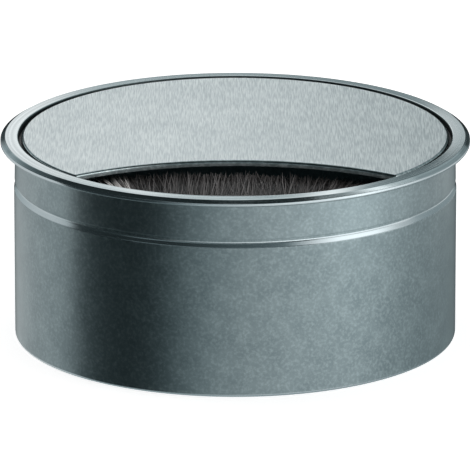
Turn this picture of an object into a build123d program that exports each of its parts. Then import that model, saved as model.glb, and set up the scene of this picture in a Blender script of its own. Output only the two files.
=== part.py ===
import os
from math import sqrt

from build123d import *

# Desk cable grommet, in millimetres. It stands on its foot rim with the rim's centre at the origin,
# +Z up, and its cable opening faces -Y.

# Sleeve, spun from sheet
body_radius = 40.0  # outside, for an 80 mm hole in the desk
total_height = 37.0
sheet = 0.6
flange_overhang = 2.4  # flange beyond the body
hem_setback = 0.15  # raw edge of the hem, outside the body's own radius
crown_drop = 0.07  # fall of the flange's top, from the bore out to the sloped edge
edge_width = 0.83  # sloped edge of the flange, seen from above
edge_drop = 0.48
nose_bevel = 0.4  # under the sloped edge
rim_bevel = 0.3  # flange's top into the neck
neck_inset = 0.25  # top of the neck, inside the body
neck_flare = 0.15  # the neck widens down to the crease
neck_height = 7.88  # from the top down to the crease
crease_depth = 0.4  # inside the body
crease_height = 0.55
step_height = 0.85  # burnished bevel between crease and body
foot_width = 1.8  # turned-in foot rim, from the outside of the body
foot_bevel = 0.5  # pressed fold between body and foot rim

# Cover plate
cover_gap = 0.55  # between cover and neck, all round
cover_drop = 0.1  # cover below the flange
cover_thickness = 1.0
cover_bevel = 0.45
opening_width = 21.85  # front edge of the full disc to the middle of the lip
opening_arc_radius = 47.7
opening_corner_round = 0.6

# Carrier ring
press_gap = 0.05  # carrier inside the sleeve
ledge_width = 1.6  # what the cover lies on
carrier_foot = 1.6  # collar under the step
slot_depth = 1.8
slot_wall = 0.8  # above and below the brush channel
slot_play = 0.1
pocket_wall = 0.7  # left outside the ends of the slot

# Strip brush
channel_length = 39.6
channel_height = 3.2
channel_depth = 3.2
channel_sheet = 0.45
channel_bend = 0.6  # outside radius of the folds
brush_drop = 2.1  # channel below the carrier's ledge
wire_radius = 0.5
wire_gap = 0.05
bristle_wrap = 0.35  # bristles behind the wire
trim_gap = 1.85  # bristle ends short of the cover's lip
tuft_pitch = 0.66
tuft_width = 0.34
tuft_layers = 3
layer_margin = 0.2  # outer layers clear of the channel's legs
root_embed = 0.3
trim_waste = 2.0  # cut off when the brush is trimmed
end_margin = 0.4
bristle_lift = 2.0  # degrees, the whole brush
layer_fan = 3.0  # degrees between layers
end_splay = 20.0  # degrees, the outermost tufts

# Levels of the sleeve
hem_joint_z = total_height - sheet
flange_under_z = total_height - 2 * sheet
crease_top_z = total_height - neck_height
step_top_z = crease_top_z - crease_height
step_foot_z = step_top_z - step_height
edge_top_z = total_height - crown_drop
edge_foot_z = edge_top_z - edge_drop

# Radii of the sleeve
neck_radius = body_radius - neck_inset
neck_foot_radius = neck_radius + neck_flare
neck_bore = neck_radius - sheet
crease_radius = body_radius - crease_depth
body_bore = body_radius - sheet
flange_radius = body_radius + flange_overhang
edge_radius = flange_radius - edge_width
hem_end_radius = body_radius + hem_setback
foot_bore = body_radius - foot_width

# Cover and its opening
cover_radius = neck_bore - cover_gap
cover_top_z = total_height - cover_drop
ledge_z = cover_top_z - cover_thickness
lip_y = opening_width - cover_radius
opening_centre_y = lip_y - opening_arc_radius

# Carrier and brush
carrier_radius = neck_bore - press_gap
collar_radius = body_bore - press_gap
carrier_bore = cover_radius - ledge_width
carrier_foot_z = step_foot_z - carrier_foot
channel_top_z = ledge_z - brush_drop
channel_mid_z = channel_top_z - channel_height / 2
channel_foot_z = channel_top_z - channel_height
slot_length = channel_length + 2 * slot_play
channel_back_y = -sqrt((carrier_radius - pocket_wall) ** 2 - (slot_length / 2) ** 2)
block_front_y = channel_back_y + slot_depth
mouth_y = channel_back_y + channel_depth
root_back_y = channel_back_y + channel_sheet
wire_y = root_back_y + bristle_wrap + wire_radius
trim_y = lip_y - trim_gap
root_height = channel_height - 2 * channel_sheet
layer_spacing = (root_height - tuft_width - 2 * layer_margin) / (tuft_layers - 1)
tuft_length = trim_y - mouth_y + root_embed + trim_waste
tuft_count = int((channel_length - 2 * end_margin) / tuft_pitch)

os.makedirs("parts", exist_ok=True)

# Sleeve: one section of sheet turned about the axis
with BuildPart() as sleeve:
    with BuildSketch(Plane.XZ):
        with BuildLine():
            Polyline(
                (body_radius, foot_bevel),
                (body_radius, step_foot_z),
                (crease_radius, step_top_z),
                (crease_radius, crease_top_z),
                (neck_foot_radius, crease_top_z),
                (neck_radius, hem_joint_z),
                (hem_end_radius, hem_joint_z),
                (hem_end_radius, flange_under_z),
                (flange_radius - nose_bevel, flange_under_z),
                (flange_radius, flange_under_z + nose_bevel),
                (flange_radius, edge_foot_z),
                (edge_radius, edge_top_z),
                (neck_bore + rim_bevel, total_height),
                (neck_bore, total_height - rim_bevel),
                (neck_bore, step_top_z),
                (body_bore, step_foot_z),
                (body_bore, sheet),
                (foot_bore, sheet),
                (foot_bore, 0),
                (body_radius - foot_bevel, 0),
                close=True,
            )
        make_face()
    revolve(axis=Axis.Z)

# Cover plate: a disc with a lens cut away at the front
with BuildPart() as cover_plate:
    with BuildSketch(Plane.XY.offset(ledge_z)) as cover_outline:
        Circle(cover_radius)
        with Locations((0, opening_centre_y)):
            Circle(opening_arc_radius, mode=Mode.SUBTRACT)
        fillet(cover_outline.vertices().group_by(Axis.Y)[0], opening_corner_round)
    extrude(amount=cover_thickness)
    chamfer(cover_plate.faces().sort_by(Axis.Z)[-1].edges(), cover_bevel)

# Carrier ring: the ledge for the cover, a collar under the step and a slotted block for the brush
with BuildPart() as carrier_ring:
    with BuildSketch(Plane.XZ):
        with BuildLine():
            Polyline(
                (carrier_bore, carrier_foot_z),
                (collar_radius, carrier_foot_z),
                (collar_radius, step_foot_z),
                (carrier_radius, step_top_z),
                (carrier_radius, ledge_z),
                (carrier_bore, ledge_z),
                close=True,
            )
        make_face()
    revolve(axis=Axis.Z)
    with BuildSketch(Plane.XY.offset(channel_foot_z - slot_wall)):
        Circle((carrier_bore + carrier_radius) / 2)
        with Locations((0, block_front_y)):
            Rectangle(
                2 * carrier_radius,
                2 * carrier_radius,
                align=(Align.CENTER, Align.MIN),
                mode=Mode.SUBTRACT,
            )
    extrude(amount=channel_height + slot_play + 2 * slot_wall)
    with Locations((0, channel_back_y, channel_foot_z)):
        Box(
            slot_length,
            carrier_radius,
            channel_height + slot_play,
            align=(Align.CENTER, Align.MIN, Align.MIN),
            mode=Mode.SUBTRACT,
        )

# Brush channel: a strip folded to a U, open towards the cover
with BuildPart() as brush_channel:
    with BuildSketch(Plane.YZ.offset(-channel_length / 2)) as channel_section:
        with Locations((channel_back_y, channel_foot_z)):
            Rectangle(channel_depth, channel_height, align=Align.MIN)
        fillet(channel_section.vertices().group_by(Axis.Y)[0], channel_bend)
        with Locations((root_back_y, channel_foot_z + channel_sheet)):
            Rectangle(
                channel_depth,
                root_height,
                align=Align.MIN,
                mode=Mode.SUBTRACT,
            )
    extrude(amount=channel_length)

# Core wire that the bristles are doubled over
with BuildPart() as brush_core_wire:
    with BuildSketch(Plane.YZ.offset(-channel_length / 2)):
        with Locations((wire_y, channel_mid_z)):
            Circle(wire_radius)
    extrude(amount=channel_length)


# Start and direction of one tuft: layers are staggered and fan out, and the ends splay
def tuft_plane(layer, index):
    height = layer - (tuft_layers - 1) / 2
    stagger = tuft_pitch / 2 * (layer % 2)
    x = (index - (tuft_count - 1) / 2) * tuft_pitch + stagger
    splay = end_splay * (2 * x / channel_length) ** 3
    along = Vector(0, 1, 0).rotate(Axis.X, bristle_lift + height * layer_fan).rotate(Axis.Z, -splay)
    start = (x, mouth_y - root_embed, channel_mid_z + height * layer_spacing)
    return Plane(origin=start, x_dir=along.cross(Vector(0, 0, 1)), z_dir=along)


tuft_planes = [tuft_plane(layer, index) for layer in range(tuft_layers) for index in range(tuft_count)]

# Bristles: a packed root in the channel and layers of tufts, trimmed straight
with BuildPart() as brush_bristles:
    with BuildSketch(Plane.YZ.offset(-channel_length / 2)):
        with Locations((root_back_y, channel_mid_z)):
            Rectangle(
                mouth_y - root_back_y,
                root_height,
                align=(Align.MIN, Align.CENTER),
            )
        with Locations((wire_y, channel_mid_z)):
            Circle(wire_radius + wire_gap, mode=Mode.SUBTRACT)
    extrude(amount=channel_length)
    with BuildSketch(*tuft_planes):
        Rectangle(tuft_width, tuft_width)
    extrude(amount=tuft_length)
    split(bisect_by=Plane((0, trim_y, 0), z_dir=(0, 1, 0)), keep=Keep.BOTTOM)

sleeve.part.label = "sleeve"
cover_plate.part.label = "cover_plate"
carrier_ring.part.label = "carrier_ring"
brush_channel.part.label = "brush_channel"
brush_core_wire.part.label = "brush_core_wire"
brush_bristles.part.label = "brush_bristles"

export_step(sleeve.part, "parts/sleeve.step")
export_step(cover_plate.part, "parts/cover_plate.step")
export_step(carrier_ring.part, "parts/carrier_ring.step")
export_step(brush_channel.part, "parts/brush_channel.step")
export_step(brush_core_wire.part, "parts/brush_core_wire.step")
export_step(brush_bristles.part, "parts/brush_bristles.step")
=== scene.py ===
import math
import random

import bpy
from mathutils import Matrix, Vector


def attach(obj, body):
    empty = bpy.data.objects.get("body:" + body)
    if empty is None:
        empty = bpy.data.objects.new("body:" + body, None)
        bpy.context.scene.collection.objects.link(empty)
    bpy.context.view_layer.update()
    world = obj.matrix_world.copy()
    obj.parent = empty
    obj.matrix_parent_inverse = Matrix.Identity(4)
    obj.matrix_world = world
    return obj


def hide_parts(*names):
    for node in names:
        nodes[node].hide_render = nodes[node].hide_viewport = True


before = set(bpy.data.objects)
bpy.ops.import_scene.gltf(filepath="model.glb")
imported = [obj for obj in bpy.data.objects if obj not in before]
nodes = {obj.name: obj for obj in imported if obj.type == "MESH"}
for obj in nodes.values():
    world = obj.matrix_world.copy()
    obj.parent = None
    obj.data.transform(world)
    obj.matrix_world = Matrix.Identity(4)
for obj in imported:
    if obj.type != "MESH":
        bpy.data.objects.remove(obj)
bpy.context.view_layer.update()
mm = 0.001
tiny = 0.002 * mm  # places nearer than this are one place
print("frame loaded:", ", ".join(sorted(nodes)))


# Mesh helpers
def startFresh():
    # operators act on all that is selected, so nothing stays selected
    if bpy.context.object and bpy.context.object.mode != "OBJECT":
        bpy.ops.object.mode_set(mode="OBJECT")
    bpy.ops.object.select_all(action="DESELECT")


def clearPick(kind):
    bpy.ops.object.mode_set(mode="EDIT")
    bpy.ops.mesh.select_mode(type=kind)
    bpy.ops.mesh.select_all(action="DESELECT")
    bpy.ops.object.mode_set(mode="OBJECT")


def pickVerts(piece, test):
    clearPick("VERT")
    for vert in piece.data.vertices:
        vert.select = test(vert.co)
    bpy.ops.object.mode_set(mode="EDIT")


def pickEdges(piece, test):
    # the test is given both ends of an edge
    clearPick("EDGE")
    verts = piece.data.vertices
    for edge in piece.data.edges:
        edge.select = test(*[verts[i].co for i in edge.vertices])
    bpy.ops.object.mode_set(mode="EDIT")


def drawLoop(name, places):
    # one vertex at the first place, then extruded from place to place and closed
    startFresh()
    bpy.ops.mesh.primitive_plane_add(size=1 * mm, location=places[0])
    piece = bpy.context.object
    piece.name = name
    piece.data.name = name
    bpy.ops.object.transform_apply(location=True, rotation=True, scale=True)
    bpy.ops.object.mode_set(mode="EDIT")
    bpy.ops.mesh.select_mode(type="VERT")
    bpy.ops.mesh.select_all(action="SELECT")
    bpy.ops.mesh.merge(type="CENTER")
    for here, there in zip(places, places[1:] + places[:1]):
        step = Vector(there) - Vector(here)
        bpy.ops.mesh.extrude_vertices_move(TRANSFORM_OT_translate={"value": step})
    bpy.ops.mesh.select_all(action="SELECT")
    bpy.ops.mesh.remove_doubles(threshold=tiny)
    return piece


def smoothPiece(piece, angle):
    bpy.ops.object.mode_set(mode="OBJECT")
    bpy.ops.object.shade_smooth_by_angle(angle=math.radians(angle))
    weigh = piece.modifiers.new("weigh", "WEIGHTED_NORMAL")
    weigh.keep_sharp = True
    bpy.ops.object.modifier_apply(modifier=weigh.name)


# Node helpers
def addNode(tree, kind, values=None, **settings):
    node = tree.nodes.new(kind)
    for key, value in settings.items():
        setattr(node, key, value)
    for key, value in (values or {}).items():
        node.inputs[key].default_value = value
    return node


def addMath(tree, operation, first, second=None):
    node = addNode(tree, "ShaderNodeMath", operation=operation)
    for i, value in enumerate((first, second)):
        if isinstance(value, (int, float)):
            node.inputs[i].default_value = value
        elif value is not None:
            tree.links.new(value, node.inputs[i])
    return node.outputs[0]


def addMix(tree, factor, first, second):
    # colour mix; first and second are colours or sockets
    node = addNode(tree, "ShaderNodeMix", data_type="RGBA")
    tree.links.new(factor, node.inputs["Factor"])
    for socket, value in ((node.inputs[6], first), (node.inputs[7], second)):
        if isinstance(value, tuple):
            socket.default_value = (*value, 1)
        else:
            tree.links.new(value, socket)
    return node.outputs[2]


def addBlend(tree, factor, first, second):
    # value mix; first is a socket, second a number or a socket
    node = addNode(tree, "ShaderNodeMix")
    tree.links.new(factor, node.inputs["Factor"])
    tree.links.new(first, node.inputs[2])
    if isinstance(second, (int, float)):
        node.inputs[3].default_value = second
    else:
        tree.links.new(second, node.inputs[3])
    return node.outputs[0]


def addRange(tree, value, low, high):
    # a 0 to 1 value spread over low to high
    node = addNode(tree, "ShaderNodeMapRange", {"To Min": low, "To Max": high})
    tree.links.new(value, node.inputs["Value"])
    return node.outputs["Result"]


def addSpread(tree, value, low, high):
    # low to high spread over 0 to 1
    node = addNode(tree, "ShaderNodeMapRange", {"From Min": low, "From Max": high})
    tree.links.new(value, node.inputs["Value"])
    return node.outputs["Result"]


def addShares(tree, first, second, share):
    # sum of two values, the second with the given share
    rest = addMath(tree, "MULTIPLY", first, 1 - share)
    return addMath(tree, "ADD", rest, addMath(tree, "MULTIPLY", second, share))


def newGroup(name, inputs, outputs):
    group = bpy.data.node_groups.new(name, "ShaderNodeTree")
    for label, kind, value in inputs:
        socket = group.interface.new_socket(label, in_out="INPUT", socket_type=kind)
        if value is not None:
            socket.default_value = value
    for label in outputs:
        group.interface.new_socket(label, in_out="OUTPUT", socket_type="NodeSocketFloat")
    return group, group.nodes.new("NodeGroupInput"), group.nodes.new("NodeGroupOutput")


def placeGroup(tree, group, values=None, place=None):
    node = addNode(tree, "ShaderNodeGroup", node_tree=group)
    for key, value in (values or {}).items():
        if isinstance(value, (int, float)):
            node.inputs[key].default_value = value
        else:
            tree.links.new(value, node.inputs[key])
    if place:
        tree.links.new(place, node.inputs["Place"])
    return node.outputs


def newMaterial(name):
    material = bpy.data.materials.new(name)
    material.use_nodes = True
    tree = material.node_tree
    return material, tree, tree.nodes["Principled BSDF"]


def objectPlace(tree):
    return tree.nodes.new("ShaderNodeTexCoord").outputs["Object"]


def splitPlace(tree, place):
    axes = addNode(tree, "ShaderNodeSeparateXYZ")
    tree.links.new(place, axes.inputs["Vector"])
    return axes.outputs


def addBump(tree, shader, height, strength, depth):
    bump = addNode(tree, "ShaderNodeBump", {"Strength": strength, "Distance": depth})
    tree.links.new(height, bump.inputs["Height"])
    tree.links.new(bump.outputs["Normal"], shader.inputs["Normal"])


# Shared effects
effectSet = {
    "mottle": [("Speckle", 0.45, 0.8), ("Blotch", 0.3, 0.7)],  # noise levels that become 0 and 1
    "mottleNoise": {"Detail": 3, "Roughness": 0.6},
    "lines": (0.38, 0.62),  # likewise
    "linesNoise": {"Scale": 1, "Detail": 2, "Roughness": 0.55},
}


def makeMottle():
    # fine crystal speckle and soft blotches of a zinc coat; sizes in metres
    group, start, end = newGroup(
        "zincMottle",
        [
            ("Place", "NodeSocketVector", None), ("Speckle Size", "NodeSocketFloat", 0.4 * mm),
            ("Blotch Size", "NodeSocketFloat", 6 * mm),
        ],
        ["Speckle", "Blotch"],
    )
    for label, low, high in effectSet["mottle"]:
        scale = addMath(group, "DIVIDE", 1.0, start.outputs[label + " Size"])
        noise = addNode(group, "ShaderNodeTexNoise", effectSet["mottleNoise"])
        group.links.new(start.outputs["Place"], noise.inputs["Vector"])
        group.links.new(scale, noise.inputs["Scale"])
        group.links.new(addSpread(group, noise.outputs["Fac"], low, high), end.inputs[label])
    return group


def makeBrushing():
    # grinding lines that run front to back; sizes in metres
    group, start, end = newGroup(
        "brushedLines",
        [
            ("Place", "NodeSocketVector", None), ("Line Width", "NodeSocketFloat", 0.25 * mm),
            ("Line Length", "NodeSocketFloat", 7 * mm),
        ],
        ["Lines"],
    )
    across = addMath(group, "DIVIDE", 1.0, start.outputs["Line Width"])
    along = addMath(group, "DIVIDE", 1.0, start.outputs["Line Length"])
    scale = addNode(group, "ShaderNodeCombineXYZ")
    group.links.new(across, scale.inputs["X"])
    group.links.new(along, scale.inputs["Y"])
    group.links.new(across, scale.inputs["Z"])
    stretched = addNode(group, "ShaderNodeVectorMath", operation="MULTIPLY")
    group.links.new(start.outputs["Place"], stretched.inputs[0])
    group.links.new(scale.outputs["Vector"], stretched.inputs[1])
    noise = addNode(group, "ShaderNodeTexNoise", effectSet["linesNoise"])
    group.links.new(stretched.outputs["Vector"], noise.inputs["Vector"])
    lines = addSpread(group, noise.outputs["Fac"], *effectSet["lines"])
    group.links.new(lines, end.inputs["Lines"])
    return group


def makeBand():
    # 1 between two levels, with a soft step at each
    group, start, end = newGroup(
        "bandMask",
        [
            ("Level", "NodeSocketFloat", 0), ("Low", "NodeSocketFloat", 0),
            ("High", "NodeSocketFloat", 1), ("Soft", "NodeSocketFloat", 0.1 * mm),
        ],
        ["Mask"],
    )
    sides = []
    for edge, far, near in (("Low", -1, 1), ("High", 1, -1)):
        step = addNode(group, "ShaderNodeMapRange", interpolation_type="SMOOTHSTEP")
        group.links.new(start.outputs["Level"], step.inputs["Value"])
        for label, side in (("From Min", far), ("From Max", near)):
            reach = addMath(group, "MULTIPLY", start.outputs["Soft"], side)
            group.links.new(addMath(group, "ADD", start.outputs[edge], reach), step.inputs[label])
        sides.append(step.outputs["Result"])
    group.links.new(addMath(group, "MULTIPLY", *sides), end.inputs["Mask"])
    return group


mottle = makeMottle()
brushing = makeBrushing()
band = makeBand()
print("shader groups built")

# Sleeve: one section of sheet, corners rounded, spun about the axis
sleeveSet = {
    "corners": [  # radius, height, rounding
        (40.00, 0.00, 0.55),
        (40.00, 27.56, 0.15),
        (39.60, 28.40, 0.22),
        (39.60, 29.12, 0.00),
        (39.90, 29.12, 0.08),
        (39.75, 36.40, 0.00),
        (40.15, 36.40, 0.00),
        (40.15, 35.80, 0.08),
        (42.40, 35.80, 0.22),
        (42.40, 36.45, 0.12),
        (41.57, 36.93, 0.05),
        (39.15, 37.00, 0.30),
        (39.15, 28.57, 0.10),
        (39.40, 27.72, 0.10),
        (39.40, 0.60, 0.15),
        (38.20, 0.60, 0.08),
        (38.20, 0.00, 0.08),
    ],
    "roundSegments": 5,
    "steps": 240,
    "smoothAngle": 32,
    "zincDark": (0.145, 0.189, 0.201),
    "zincLight": (0.287, 0.353, 0.364),
    "wearAndGlint": (0.42, 0.48, 0.5),
    "burnished": [(0.46, 0.52, 0.535), (0.66, 0.73, 0.745)],
    "bodyRough": (0.29, 0.38),
    "wornRough": 0.16,
    "burnishedRough": (0.07, 0.13),
    # the last band stops above the nose's underside, which keeps the darker plain zinc there as a
    # painted shade line under the nose
    "wornBands": [(-0.1 * mm, 0.5 * mm), (27.56 * mm, 28.6 * mm), (35.98 * mm, 37.2 * mm)],
    "burnishedBand": (36.45 * mm, 37.2 * mm),
    "neckBand": (29.14 * mm, 35.8 * mm),
    "neckWear": 0.06,
    "bandSoft": 0.08 * mm,
    "boreRadius": 39.26 * mm,  # painted shade: dark colour inside the neck
    "boreSoft": 0.04 * mm,
    "boreBand": (28.5 * mm, 37.2 * mm),
    "bore": (0.06, 0.078, 0.082),
    "boreRough": 0.45,
    "turnWidth": 0.4 * mm,
    "turnLength": 30 * mm,
    "speckleSize": 0.55 * mm,
    "blotchSize": 4 * mm,
    "blotchShare": 0.3,
    "bump": (0.15, 0.012 * mm),
}


def makeSleeve():
    s = sleeveSet
    places = [(radius * mm, 0, height * mm) for radius, height, _ in s["corners"]]
    sleeve = drawLoop("sleeveShell", places)
    for place, (_, _, rounding) in zip(places, s["corners"]):
        if not rounding:
            continue
        pickVerts(sleeve, lambda co: (co - Vector(place)).length < tiny)
        bpy.ops.mesh.bevel(
            offset=rounding * mm, segments=s["roundSegments"], profile=0.5, affect="VERTICES"
        )
    bpy.ops.mesh.select_all(action="SELECT")
    bpy.ops.mesh.spin(steps=s["steps"], angle=math.tau, center=(0, 0, 0), axis=(0, 0, 1))
    bpy.ops.mesh.select_all(action="SELECT")
    bpy.ops.mesh.remove_doubles(threshold=tiny)
    bpy.ops.mesh.normals_make_consistent(inside=False)
    smoothPiece(sleeve, s["smoothAngle"])
    return sleeve


def zincSteel():
    s = sleeveSet
    material, tree, shader = newMaterial("zincSteel")
    place = objectPlace(tree)
    axes = splitPlace(tree, place)
    marks = placeGroup(
        tree, mottle, {"Speckle Size": s["speckleSize"], "Blotch Size": s["blotchSize"]}, place
    )

    def bandAt(low, high):
        limits = {"Level": axes["Z"], "Low": low, "High": high, "Soft": s["bandSoft"]}
        return placeGroup(tree, band, limits)["Mask"]

    wearAndGlint = addMath(tree, "MULTIPLY", bandAt(*s["neckBand"]), s["neckWear"])
    for limits in s["wornBands"]:
        wearAndGlint = addMath(tree, "MAXIMUM", wearAndGlint, bandAt(*limits))
    burnished = bandAt(*s["burnishedBand"])
    # lines left by the turning run round the axis
    level = addNode(tree, "ShaderNodeCombineXYZ")
    tree.links.new(axes["X"], level.inputs["X"])
    tree.links.new(axes["Y"], level.inputs["Y"])
    radius = addNode(tree, "ShaderNodeVectorMath", operation="LENGTH")
    tree.links.new(level.outputs["Vector"], radius.inputs[0])
    around = addNode(tree, "ShaderNodeCombineXYZ")
    tree.links.new(radius.outputs["Value"], around.inputs["X"])
    tree.links.new(axes["X"], around.inputs["Y"])
    turned = placeGroup(
        tree,
        brushing,
        {"Line Width": s["turnWidth"], "Line Length": s["turnLength"]},
        around.outputs["Vector"],
    )["Lines"]
    tone = addShares(tree, marks["Speckle"], marks["Blotch"], s["blotchShare"])
    zinc = addMix(tree, tone, s["zincDark"], s["zincLight"])
    bright = addMix(tree, turned, *s["burnished"])
    colour = addMix(tree, burnished, addMix(tree, wearAndGlint, zinc, s["wearAndGlint"]), bright)
    # painted shade: inside the neck the colour turns dark, for the shaded gap round the cover
    limits = {"Level": radius.outputs["Value"], "Low": 0, "High": s["boreRadius"], "Soft": s["boreSoft"]}
    inside = placeGroup(tree, band, limits)["Mask"]
    inside = addMath(tree, "MULTIPLY", inside, bandAt(*s["boreBand"]))
    tree.links.new(addMix(tree, inside, colour, s["bore"]), shader.inputs["Base Color"])
    rough = addRange(tree, marks["Speckle"], *s["bodyRough"])
    rough = addBlend(tree, wearAndGlint, rough, s["wornRough"])
    rough = addBlend(tree, burnished, rough, addRange(tree, turned, *s["burnishedRough"]))
    rough = addBlend(tree, inside, rough, s["boreRough"])
    tree.links.new(rough, shader.inputs["Roughness"])
    shader.inputs["Metallic"].default_value = 1
    plain = addMath(tree, "SUBTRACT", 1.0, wearAndGlint)
    addBump(tree, shader, addMath(tree, "MULTIPLY", marks["Speckle"], plain), *s["bump"])
    return material


sleeve = makeSleeve()
sleeve.data.materials.append(zincSteel())
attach(sleeve, "root")
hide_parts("sleeve")
print("sleeve:", len(sleeve.data.polygons), "faces")

# Cover plate: a disc with a lens cut away, edge rounded over
coverSet = {
    "radius": 38.6 * mm,
    "foot": 35.9 * mm,
    "thickness": 1.0 * mm,
    "lipY": -16.75 * mm,
    "openingArc": 47.7 * mm,
    "cornerRound": 0.6 * mm,
    "edgeRound": 0.5 * mm,
    "edgeSegments": 5,
    "outerSteps": 220,
    "openingSteps": 80,
    "cornerSteps": 8,
    "smoothAngle": 40,
    "steel": (0.53, 0.6, 0.62),
    "steelLight": (0.94, 1.0, 1.0),
    "metallic": 0.7,  # the rest is the satin scatter of the grinding
    "rough": (0.3, 0.42),
    "edgeSteel": [(0.3, 0.36, 0.37), (0.68, 0.75, 0.76)],
    "edgeRough": 0.16,
    "edgeStart": 0.012 * mm,  # below the top
    "edgeSoft": 0.006 * mm,
    "edgeMarks": 0.9 * mm,
    "cutStart": 0.42 * mm,  # below the top
    "cutSoft": 0.04 * mm,
    "cutRough": 0.42,
    "cutMetallic": 0.75,
    "lineWidth": 0.19 * mm,
    "lineLength": 4 * mm,
    "blotchSize": 9 * mm,
    "blotchShare": 0.2,
    "bump": (0.3, 0.012 * mm),
}


def arcPlaces(centre, radius, fromAngle, toAngle, steps, z):
    places = []
    for i in range(steps + 1):
        angle = fromAngle + (toAngle - fromAngle) * i / steps
        places.append((centre[0] + radius * math.cos(angle), centre[1] + radius * math.sin(angle), z))
    return places


def coverOutline():
    # right-hand corner circle lies inside the disc and outside the opening's circle
    c = coverSet
    centreY = c["lipY"] - c["openingArc"]
    inner = c["radius"] - c["cornerRound"]
    outer = c["openingArc"] + c["cornerRound"]
    cornerY = (outer**2 - inner**2 - centreY**2) / (-2 * centreY)
    cornerX = math.sqrt(inner**2 - cornerY**2)
    discAngle = math.atan2(cornerY, cornerX)
    arcAngle = math.atan2(cornerY - centreY, cornerX)
    z = c["foot"]
    disc = arcPlaces((0, 0), c["radius"], discAngle, math.pi - discAngle, c["outerSteps"], z)
    left = arcPlaces((-cornerX, cornerY), c["cornerRound"], math.pi - discAngle,
                     math.tau - arcAngle, c["cornerSteps"], z)
    lens = arcPlaces((0, centreY), c["openingArc"], math.pi - arcAngle, arcAngle, c["openingSteps"], z)
    right = arcPlaces((cornerX, cornerY), c["cornerRound"], arcAngle - math.pi,
                      discAngle, c["cornerSteps"], z)
    return disc + left[1:-1] + lens + right[1:-1]


def makeCover():
    c = coverSet
    cover = drawLoop("coverDisc", coverOutline())
    bpy.ops.mesh.edge_face_add()
    bpy.ops.mesh.extrude_region_move(TRANSFORM_OT_translate={"value": (0, 0, c["thickness"])})
    top = c["foot"] + c["thickness"]
    pickEdges(cover, lambda one, other: min(one.z, other.z) > top - tiny)
    bpy.ops.mesh.bevel(
        offset=c["edgeRound"], segments=c["edgeSegments"], profile=0.5, affect="EDGES"
    )
    bpy.ops.mesh.select_all(action="SELECT")
    bpy.ops.mesh.normals_make_consistent(inside=False)
    smoothPiece(cover, c["smoothAngle"])
    return cover


def brushedSteel():
    c = coverSet
    material, tree, shader = newMaterial("brushedSteel")
    place = objectPlace(tree)
    axes = splitPlace(tree, place)
    lines = placeGroup(
        tree, brushing, {"Line Width": c["lineWidth"], "Line Length": c["lineLength"]}, place
    )["Lines"]
    marks = placeGroup(
        tree, mottle, {"Speckle Size": c["edgeMarks"], "Blotch Size": c["blotchSize"]}, place
    )
    tone = addShares(tree, lines, marks["Blotch"], c["blotchShare"])
    # the edge has no grinding lines: rolled over smooth, and rough where it was cut
    top = c["foot"] + c["thickness"]

    def below(start, soft):
        limits = {"Level": axes["Z"], "Low": 0, "High": top - start, "Soft": soft}
        return placeGroup(tree, band, limits)["Mask"]

    edge = below(c["edgeStart"], c["edgeSoft"])
    cut = below(c["cutStart"], c["cutSoft"])
    face = addMix(tree, tone, c["steel"], c["steelLight"])
    rim = addMix(tree, marks["Speckle"], *c["edgeSteel"])
    tree.links.new(addMix(tree, edge, face, rim), shader.inputs["Base Color"])
    rough = addBlend(tree, edge, addRange(tree, lines, *c["rough"]), c["edgeRough"])
    tree.links.new(addBlend(tree, cut, rough, c["cutRough"]), shader.inputs["Roughness"])
    metal = addBlend(tree, cut, addRange(tree, edge, c["metallic"], 1.0), c["cutMetallic"])
    tree.links.new(metal, shader.inputs["Metallic"])
    plain = addMath(tree, "SUBTRACT", 1.0, edge)
    addBump(tree, shader, addMath(tree, "MULTIPLY", lines, plain), *c["bump"])
    return material


cover = makeCover()
cover.data.materials.append(brushedSteel())
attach(cover, "root")
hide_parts("cover_plate")
print("cover plate:", len(cover.data.polygons), "faces")

# Bristles: one filament modelled, then copied, leaned and bent
bristleSet = {
    "count": 6400,
    "radius": 0.06 * mm,
    "sides": 4,
    "cuts": 2,
    "tipTaper": 0.75,
    "rootY": -30.42 * mm,
    "trimY": -18.6 * mm,
    "halfLength": 19.4 * mm,
    "midZ": 32.2 * mm,
    "rootHalfHeight": 1.02 * mm,
    "lift": math.radians(4.0),
    "fan": math.radians(4.4),
    "lean": math.radians(5.5),
    "pitchJitter": math.radians(0.8),
    "pitchMost": math.radians(9.5),  # stays under the cover
    "endSplay": math.radians(36),
    "splayPower": 5,  # only the ends of the strip splay
    "lengthJitter": 0.5 * mm,
    "longShare": 0.02,
    "longExtra": 1.6 * mm,
    "lowReach": 2.4 * mm,  # lower bristles reach further under the lip
    "glintThick": 2.2,
    "bend": 0.45 * mm,
    "sag": 0.12 * mm,
    "rightFrom": 0.1,  # from here to the right-hand end they droop and are shorter
    "rightDroop": 0.6 * mm,
    "rightShort": 0.8 * mm,
    "glintShare": (0.0015, 0.85),  # painted highlights, pale bristles for strands that catch the light: along the strip, and at its left-hand end
    "glintEnd": -0.88,
    "seed": 11,
    "tonePower": 1.4,
    "toneMiddle": 0.65,  # in the middle layer; the gain below is added in the top layer and taken off in the bottom one, painted light: the upper bristles lighter, the lower ones darker
    "topLayerLight": 0.35,
    "dark": (0.012, 0.01, 0.01),
    "grey": (0.25, 0.236, 0.234),
    "pale": (0.92, 0.9, 0.88),
    "glintTones": (1.0, 1.2),  # a tone past 1 is a pale bristle, a painted highlight
    "tip": (0.2, 0.186, 0.18),
    "tipGlintPart": (0.75, 1.0),  # of the length; lighter there as a painted highlight on the cut ends
    "rough": (0.3, 0.5),
}


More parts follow.
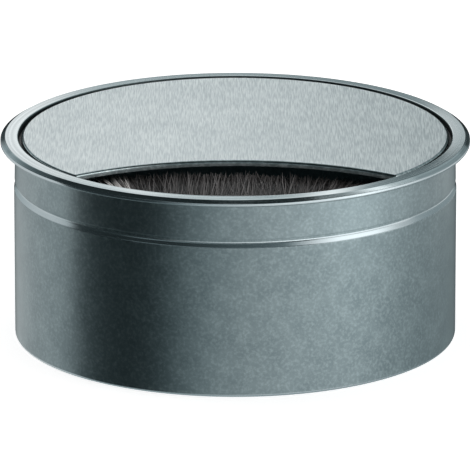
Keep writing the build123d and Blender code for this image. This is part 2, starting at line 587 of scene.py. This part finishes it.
def makeFilament():
    b = bristleSet
    startFresh()
    length = b["trimY"] - b["rootY"]
    bpy.ops.mesh.primitive_cylinder_add(
        vertices=b["sides"], radius=b["radius"], depth=length, location=(0, length / 2, 0),
        rotation=(math.radians(-90), 0, 0),
    )
    filament = bpy.context.object
    filament.name = "filament"
    bpy.ops.object.transform_apply(location=True, rotation=True, scale=True)
    pickEdges(filament, lambda one, other: abs(one.y - other.y) > length / 2)
    bpy.ops.mesh.subdivide(number_cuts=b["cuts"])
    pickVerts(filament, lambda co: co.y > length - tiny)
    bpy.ops.transform.resize(value=(b["tipTaper"], 1, b["tipTaper"]))
    bpy.ops.object.mode_set(mode="OBJECT")
    bpy.ops.object.shade_smooth()
    return filament, length


def makeBristles():
    b = bristleSet
    filament, length = makeFilament()
    draw = random.Random(b["seed"])
    base = [vert.co.copy() for vert in filament.data.vertices]
    tips = [co.y / length for co in base]
    copies = []
    for _ in range(b["count"]):
        side = draw.uniform(-1, 1)
        layer = draw.uniform(-1, 1)
        root = Vector((side * b["halfLength"], b["rootY"], b["midZ"] + layer * b["rootHalfHeight"]))
        yaw = b["endSplay"] * side ** b["splayPower"] + draw.gauss(0, b["lean"])
        pitch = b["lift"] + layer * b["fan"] + draw.gauss(0, b["pitchJitter"])
        pitch = min(pitch, b["pitchMost"])
        rightward = max(0.0, side - b["rightFrom"])
        reach = length + draw.gauss(0, b["lengthJitter"]) - rightward * b["rightShort"]
        reach += max(0.0, -layer) * draw.random() * b["lowReach"]
        if draw.random() < b["longShare"]:
            reach += draw.random() * b["longExtra"]
        sway = draw.gauss(0, b["bend"])
        sag = draw.gauss(0, b["sag"]) - rightward * b["rightDroop"]
        along = Vector((math.sin(yaw), math.cos(yaw) * math.cos(pitch), math.sin(pitch)))
        # painted light: the random tone is raised in the top layer and lowered in the bottom one
        tone = draw.random() ** b["tonePower"] * (b["toneMiddle"] + b["topLayerLight"] * layer)
        thick = 1.0
        # painted highlight: a few bristles, most at the left-hand end, are drawn pale and thicker
        if draw.random() < b["glintShare"][side < b["glintEnd"]]:
            tone += 1
            thick = b["glintThick"]
        mesh = filament.data.copy()
        places = []
        for co, t in zip(base, tips):
            aside = Vector((co.x * thick + sway * t * t, 0, co.z + sag * t * t))
            places.extend(root + along * (reach * t) + aside)
        mesh.vertices.foreach_set("co", places)
        mesh.attributes.new("tone", "FLOAT", "POINT").data.foreach_set("value", [tone] * len(base))
        mesh.attributes.new("tip", "FLOAT", "POINT").data.foreach_set("value", tips)
        copy = bpy.data.objects.new("filamentCopy", mesh)
        bpy.context.scene.collection.objects.link(copy)
        copies.append(copy)
    bpy.data.objects.remove(filament)
    startFresh()
    for copy in copies:
        copy.select_set(True)
    bpy.context.view_layer.objects.active = copies[0]
    bpy.ops.object.join()
    bristles = bpy.context.object
    bristles.name = "bristleStrip"
    bristles.data.name = "bristleStrip"
    return bristles


def darkFilament():
    b = bristleSet
    material, tree, shader = newMaterial("darkFilament")
    tone = addNode(tree, "ShaderNodeAttribute", attribute_name="tone").outputs["Fac"]
    tip = addNode(tree, "ShaderNodeAttribute", attribute_name="tip").outputs["Fac"]
    plain = addMix(tree, tone, b["dark"], b["grey"])
    # painted highlight: a tone past 1 turns the bristle pale
    plain = addMix(tree, addSpread(tree, tone, *b["glintTones"]), plain, b["pale"])
    # painted highlight: the tips are lighter, as where the cut ends catch the light
    wearAndGlint = addMath(tree, "MULTIPLY", addSpread(tree, tip, *b["tipGlintPart"]), tone)
    tree.links.new(addMix(tree, wearAndGlint, plain, b["tip"]), shader.inputs["Base Color"])
    tree.links.new(addRange(tree, tone, *b["rough"]), shader.inputs["Roughness"])
    return material


bristles = makeBristles()
bristles.data.materials.append(darkFilament())
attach(bristles, "root")
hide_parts("brush_bristles")
print("bristles:", len(bristles.data.polygons), "faces")

# Carrier ring, brush channel and core wire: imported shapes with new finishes
carrierSet = {
    "speckleSize": 0.25 * mm,
    "blotchSize": 8 * mm,
    "colours": [(0.022, 0.024, 0.026), (0.034, 0.036, 0.038)],
    "rough": (0.42, 0.6),
    "metallic": 0,
    "bump": (0.3, 0.02 * mm),
}
channelSet = {
    "speckleSize": 0.5 * mm,
    "blotchSize": 3 * mm,
    "colours": [(0.38, 0.42, 0.44), (0.54, 0.57, 0.58)],
    "rough": (0.3, 0.45),
    "metallic": 1,
    "bump": (0.2, 0.01 * mm),
}


def speckledFinish(name, look):
    material, tree, shader = newMaterial(name)
    sizes = {"Speckle Size": look["speckleSize"], "Blotch Size": look["blotchSize"]}
    marks = placeGroup(tree, mottle, sizes, objectPlace(tree))
    tree.links.new(addMix(tree, marks["Blotch"], *look["colours"]), shader.inputs["Base Color"])
    tree.links.new(addRange(tree, marks["Speckle"], *look["rough"]), shader.inputs["Roughness"])
    shader.inputs["Metallic"].default_value = look["metallic"]
    addBump(tree, shader, marks["Speckle"], *look["bump"])
    return material


def dressNode(name, material):
    mesh = nodes[name].data
    mesh.materials.clear()
    mesh.materials.append(material)


dressNode("carrier_ring", speckledFinish("mouldedBlack", carrierSet))
stripZinc = speckledFinish("stripZinc", channelSet)
dressNode("brush_channel", stripZinc)
dressNode("brush_core_wire", stripZinc)
print("carried-over pieces finished")

# Studio: pale floor, white surroundings, soft lamps, and cards that only reflections see
studioSet = {
    "floorSize": 30.0,
    "floorColour": (0.86, 0.86, 0.86),
    "floorRough": 0.8,
    "floorGlow": 0.62,
    "shadedRadius": 39 * mm,  # no glow on the floor inside the sleeve
    "fillLight": 0.55,
    "softboxes": [  # name, azimuth from the front, elevation, distance, width, height, radiance
        ("softboxBackLeft", -128, 28, 0.9, 0.8, 0.6, 1.3),
        ("softboxRight", 73, 16, 0.8, 0.55, 0.4, 2.4),
    ],
}
cardSet = {
    "steps": 96,
    "darkTint": (0.74, 1.0, 1.06),
    "walls": {  # radius, lowest and highest level, then stops: azimuth from the front and brightness
        "skirtCard": (0.35, -0.3, -0.07, [
            (-180, 0.55), (-170, 0.55), (-166, 0.05), (-160, 0.05), (-153, 0.85), (-122, 0.93),
            (-95, 0.95), (-90, 0.8), (-85, 0.18), (-76, 0.11), (-60, 0.06), (-45, 0.07), (-38, 0.12),
            (-30, 0.3), (-15, 0.78), (0, 0.98), (15, 1.12), (30, 1.2), (60, 1.08), (75, 0.86),
            (91, 0.7), (106, 0.6), (122, 0.56), (137, 0.42), (153, 0.35), (159, 0.05), (166, 0.05),
            (170, 0.55), (180, 0.55),
        ]),
        "upperSkirtCard": (0.35, -0.07, -0.02, [
            (-180, 0.55), (-170, 0.55), (-166, 0.04), (-158, 0.04), (-153, 0.45), (-137, 0.85),
            (-122, 0.98), (-95, 1.12), (-90, 1.05), (-86, 0.06), (-75, 0.04), (-45, 0.03),
            (-38, 0.04), (-30, 0.12), (-15, 0.46), (0, 0.76), (15, 1.0), (30, 1.32), (45, 1.75),
            (62, 2.6), (72, 2.0), (91, 1.36), (106, 1.08), (122, 1.06), (137, 0.88), (153, 0.5),
            (158, 0.04), (166, 0.04), (170, 0.55), (180, 0.55),
        ]),
        "lowCard": (0.35, -0.02, 0.055, [
            (-180, 0.03), (-160, 0.03), (-154, 0.45), (-144, 0.6), (-131, 0.75), (-106, 1.0),
            (-92, 0.8), (-86, 0.05), (-36, 0.05), (-15, 0.8), (0, 1.2), (30, 2.0), (60, 2.0),
            (95, 1.2), (100, 0.6), (150, 0.4), (158, 0.03), (180, 0.03),
        ]),
        "midCard": (0.35, 0.055, 0.095, [
            (-180, 0.06), (-155, 0.06), (-149, 0.6), (-118, 0.9), (-92, 0.8), (-87, 0.05),
            (36, 0.08), (50, 1.0), (92, 1.0), (100, 0.55), (140, 0.4), (150, 0.06), (180, 0.06),
        ]),
        "rimCard": (0.35, 0.095, 0.122, [
            (-180, 0.5), (-177.4, 0.46), (-175.6, 0.5), (-174, 0.56), (-172, 1.0), (-169, 1.0),
            (-166, 0.06), (-157, 0.06), (-149, 0.7), (-105, 0.95), (-92, 0.8), (-87, 0.06),
            (-60, 0.06), (-45, 0.35), (15, 0.35), (36, 0.1), (46, 1.2), (88, 1.2), (105, 0.58),
            (140, 0.4), (150, 0.06), (169, 0.06), (172, 0.3), (174, 0.32), (175.6, 0.31),
            (177.4, 0.38), (180, 0.5),
        ]),
        "coverCard": (0.35, 0.122, 0.145, [
            (-180, 1.15), (-176.5, 1.15), (-174, 0.84), (-172.4, 1.15), (-170, 1.1), (-166, 0.08),
            (-157, 0.08), (-153, 0.4), (-145, 0.4), (-120, 0.7), (-96, 0.95), (-92, 0.75),
            (-87, 0.05), (-60, 0.05), (-45, 0.35), (15, 0.35), (34, 0.1), (46, 1.4), (60, 2.1),
            (77, 2.0), (91, 0.9), (105, 0.6), (153, 0.27), (158, 0.06), (168, 0.06), (170, 0.6),
            (172.2, 1.0), (173, 0.4), (176, 0.78), (180, 1.15),
        ]),
        "coverFrontCard": (0.35, 0.145, 0.163, [
            (-180, 1.2), (-176.5, 1.2), (-174, 0.95), (-172.4, 1.0), (-170, 1.0), (-167, 0.08),
            (-157, 0.08), (-150, 0.35), (-145, 0.2), (-130, 0.3), (-110, 0.5), (-87, 0.05),
            (-60, 0.05), (-45, 0.35), (15, 0.35), (34, 0.1), (46, 1.4), (60, 2.1), (77, 2.0),
            (91, 0.9), (105, 0.6), (150, 0.3), (156, 0.06), (168, 0.06), (171, 0.2), (173.5, 0.19),
            (176, 0.75), (180, 1.2),
        ]),
        "highCard": (0.35, 0.163, 0.2, [
            (-180, 0.64), (-177.8, 0.62), (-175.9, 0.95), (-174, 0.66), (-165, 0.85), (-155, 0.5),
            (-149, 0.46), (-144, 0.23), (-134, 0.05), (-60, 0.03), (-32, 0.04), (0, 0.13),
            (27, 0.25), (40, 1.1), (55, 2.1), (77, 2.1), (92, 0.8), (105, 0.5), (149, 0.38),
            (165, 0.22), (173.6, 0.22), (174.6, 0.4), (175.8, 1.5), (176.6, 0.85), (178, 0.43),
            (180, 0.64),
        ]),
        "topCard": (0.35, 0.2, 0.35, [
            (-180, 1.15), (-165, 1.3), (-156, 0.5), (-149, 0.46), (-144, 0.23), (-140, 0.1),
            (-134, 0.05), (-60, 0.03), (-32, 0.04), (-16, 0.08), (0, 0.13), (16, 0.17), (27, 0.25),
            (32, 0.65), (40, 1.1), (47, 1.6), (55, 2.1), (77, 2.1), (92, 0.8), (105, 0.5),
            (149, 0.38), (158, 0.35), (165, 0.45), (174, 0.55), (180, 1.1),
        ]),
        "chimneyCard": (0.05, 0.35, 0.6, [(-180, 0.03), (180, 0.03)]),
    },
    "discs": {  # inner and outer radius, level, then stops
        "ceilingCard": (0.12, 0.35, 0.35, [
            (-180, 0.45), (-158, 0.45), (-145, 0.05), (-134, 0.03), (45, 0.03), (100, 0.05),
            (118, 0.06), (124, 0.1), (126.5, 0.6), (128.5, 2.5), (130.5, 0.7), (137, 0.55),
            (150, 0.42), (180, 0.45),
        ]),
        "innerCeilingCard": (0.05, 0.12, 0.35, [
            (-180, 0.6), (-164, 0.6), (-154, 0.03), (154, 0.03), (164, 0.6), (180, 0.6),
        ]),
        "overheadCard": (0, 0.05, 0.6, [(-180, 0.8), (180, 0.8)]),
        "underCard": (0, 0.35, -0.3, [(-180, 0.6), (180, 0.6)]),
        # throatCard is painted shade: a dark disc at the floor inside the sleeve, for reflections to see
        "throatCard": (0, 0.038, 0.00005, [(-180, 0.02), (180, 0.02)]),
    },
}


def seenStraight(tree):
    # 1 where the lens, a reflection or a see-through piece sees it
    rays = tree.nodes.new("ShaderNodeLightPath").outputs
    seen = addMath(tree, "MAXIMUM", rays["Is Camera Ray"], rays["Is Glossy Ray"])
    return addMath(tree, "MAXIMUM", seen, rays["Is Transmission Ray"])


def paleFloor():
    s = studioSet
    material, tree, shader = newMaterial("paleFloor")
    shader.inputs["Base Color"].default_value = (*s["floorColour"], 1)
    shader.inputs["Roughness"].default_value = s["floorRough"]
    distance = addNode(tree, "ShaderNodeVectorMath", operation="LENGTH")
    tree.links.new(objectPlace(tree), distance.inputs[0])
    outside = addMath(tree, "GREATER_THAN", distance.outputs["Value"], s["shadedRadius"])
    lit = addMath(tree, "MULTIPLY", seenStraight(tree), outside)
    glow = addMath(tree, "MULTIPLY", lit, s["floorGlow"])
    shader.inputs["Emission Color"].default_value = (1, 1, 1, 1)
    tree.links.new(glow, shader.inputs["Emission Strength"])
    material.cycles.emission_sampling = "NONE"
    return material


def makeFloor():
    startFresh()
    bpy.ops.mesh.primitive_plane_add(size=studioSet["floorSize"], location=(0, 0, 0))
    floor = bpy.context.object
    floor.name = "floor"
    floor.data.materials.append(paleFloor())
    floor.visible_glossy = False  # metal sees the cards


def whiteWorld():
    world = bpy.data.worlds.new("whiteWorld")
    bpy.context.scene.world = world
    world.use_nodes = True
    tree = world.node_tree
    strength = addRange(tree, seenStraight(tree), studioSet["fillLight"], 1.0)
    tree.nodes["Background"].inputs["Color"].default_value = (1, 1, 1, 1)
    tree.links.new(strength, tree.nodes["Background"].inputs["Strength"])
    world.cycles.sampling_method = "NONE"


def bearing(azimuth, elevation):
    a, e = math.radians(azimuth), math.radians(elevation)
    return Vector((math.sin(a) * math.cos(e), -math.cos(a) * math.cos(e), math.sin(e)))


def addSoftbox(name, azimuth, elevation, distance, width, height, radiance):
    # lights matt surfaces; metal sees the cards instead
    way = bearing(azimuth, elevation)
    startFresh()
    bpy.ops.object.light_add(
        type="AREA", location=way * distance, rotation=way.to_track_quat("Z", "Y").to_euler()
    )
    lamp = bpy.context.object
    lamp.name = name
    lamp.data.shape = "RECTANGLE"
    lamp.data.size = width
    lamp.data.size_y = height
    lamp.data.energy = radiance * math.pi * width * height
    lamp.visible_camera = False
    lamp.visible_glossy = False


def cardCloth(name, stops):
    # brightness changes with the azimuth; dark cloth is a little blue-green
    material = bpy.data.materials.new(name)
    material.use_nodes = True
    tree = material.node_tree
    tree.nodes.remove(tree.nodes["Principled BSDF"])
    axes = splitPlace(tree, objectPlace(tree))
    toFront = addMath(tree, "MULTIPLY", axes["Y"], -1.0)
    turn = addMath(tree, "ARCTAN2", axes["X"], toFront)
    share = addMath(tree, "ADD", addMath(tree, "DIVIDE", turn, math.tau), 0.5)
    ramp = tree.nodes.new("ShaderNodeValToRGB")
    tree.links.new(share, ramp.inputs["Fac"])
    elements = ramp.color_ramp.elements
    while len(elements) < len(stops):
        elements.new(0.5)
    for element, (azimuth, brightness) in zip(elements, stops):
        element.position = azimuth / 360 + 0.5
        dark = 1 - min(brightness, 1)
        tint = [1 + (part - 1) * dark for part in cardSet["darkTint"]]
        element.color = (*[brightness * part for part in tint], 1)
    glow = tree.nodes.new("ShaderNodeEmission")
    tree.links.new(ramp.outputs["Color"], glow.inputs["Color"])
    tree.links.new(glow.outputs[0], tree.nodes["Material Output"].inputs["Surface"])
    material.cycles.emission_sampling = "NONE"
    return material


def finishCard(name, stops):
    card = bpy.context.object
    card.name = name
    bpy.ops.object.mode_set(mode="OBJECT")
    bpy.ops.object.transform_apply(location=True, rotation=True, scale=True)
    card.data.materials.append(cardCloth(name, stops))
    card.visible_camera = False
    card.visible_diffuse = False
    card.visible_shadow = False
    card.visible_transmission = False


def addDiscCard(name, inner, outer, level, stops):
    startFresh()
    bpy.ops.mesh.primitive_circle_add(
        vertices=cardSet["steps"], radius=outer, fill_type="NGON", location=(0, 0, level)
    )
    if inner:
        bpy.ops.object.mode_set(mode="EDIT")
        bpy.ops.mesh.select_all(action="SELECT")
        bpy.ops.mesh.inset(thickness=outer - inner)
        bpy.ops.mesh.delete(type="FACE")
    finishCard(name, stops)


def addWallCard(name, radius, low, high, stops):
    startFresh()
    bpy.ops.mesh.primitive_cylinder_add(
        vertices=cardSet["steps"], radius=radius, depth=high - low, location=(0, 0, (low + high) / 2),
        end_fill_type="NOTHING",
    )
    finishCard(name, stops)


def addCards():
    for name, card in cardSet["walls"].items():
        addWallCard(name, *card)
    for name, card in cardSet["discs"].items():
        addDiscCard(name, *card)


makeFloor()
whiteWorld()
for softbox in studioSet["softboxes"]:
    addSoftbox(*softbox)
addCards()
print("studio set")

# Camera
cameraSet = {
    "distance": 1343.2 * mm,
    "elevation": 16.81,
    "aim": (-0.04 * mm, 0, 17.974 * mm),
    "lens": 567.6,
    "sensor": 36,
    "clip": (0.01, 100),
}


def addCamera():
    c = cameraSet
    startFresh()
    bpy.ops.object.camera_add(
        location=Vector(c["aim"]) + bearing(0, c["elevation"]) * c["distance"],
        rotation=(math.radians(90 - c["elevation"]), 0, 0),
    )
    camera = bpy.context.object
    camera.name = "camera"
    camera.data.lens = c["lens"]
    camera.data.sensor_width = c["sensor"]
    camera.data.clip_start, camera.data.clip_end = c["clip"]
    bpy.context.scene.camera = camera


addCamera()
bpy.context.scene.view_settings.view_transform = "Standard"
print("camera placed")
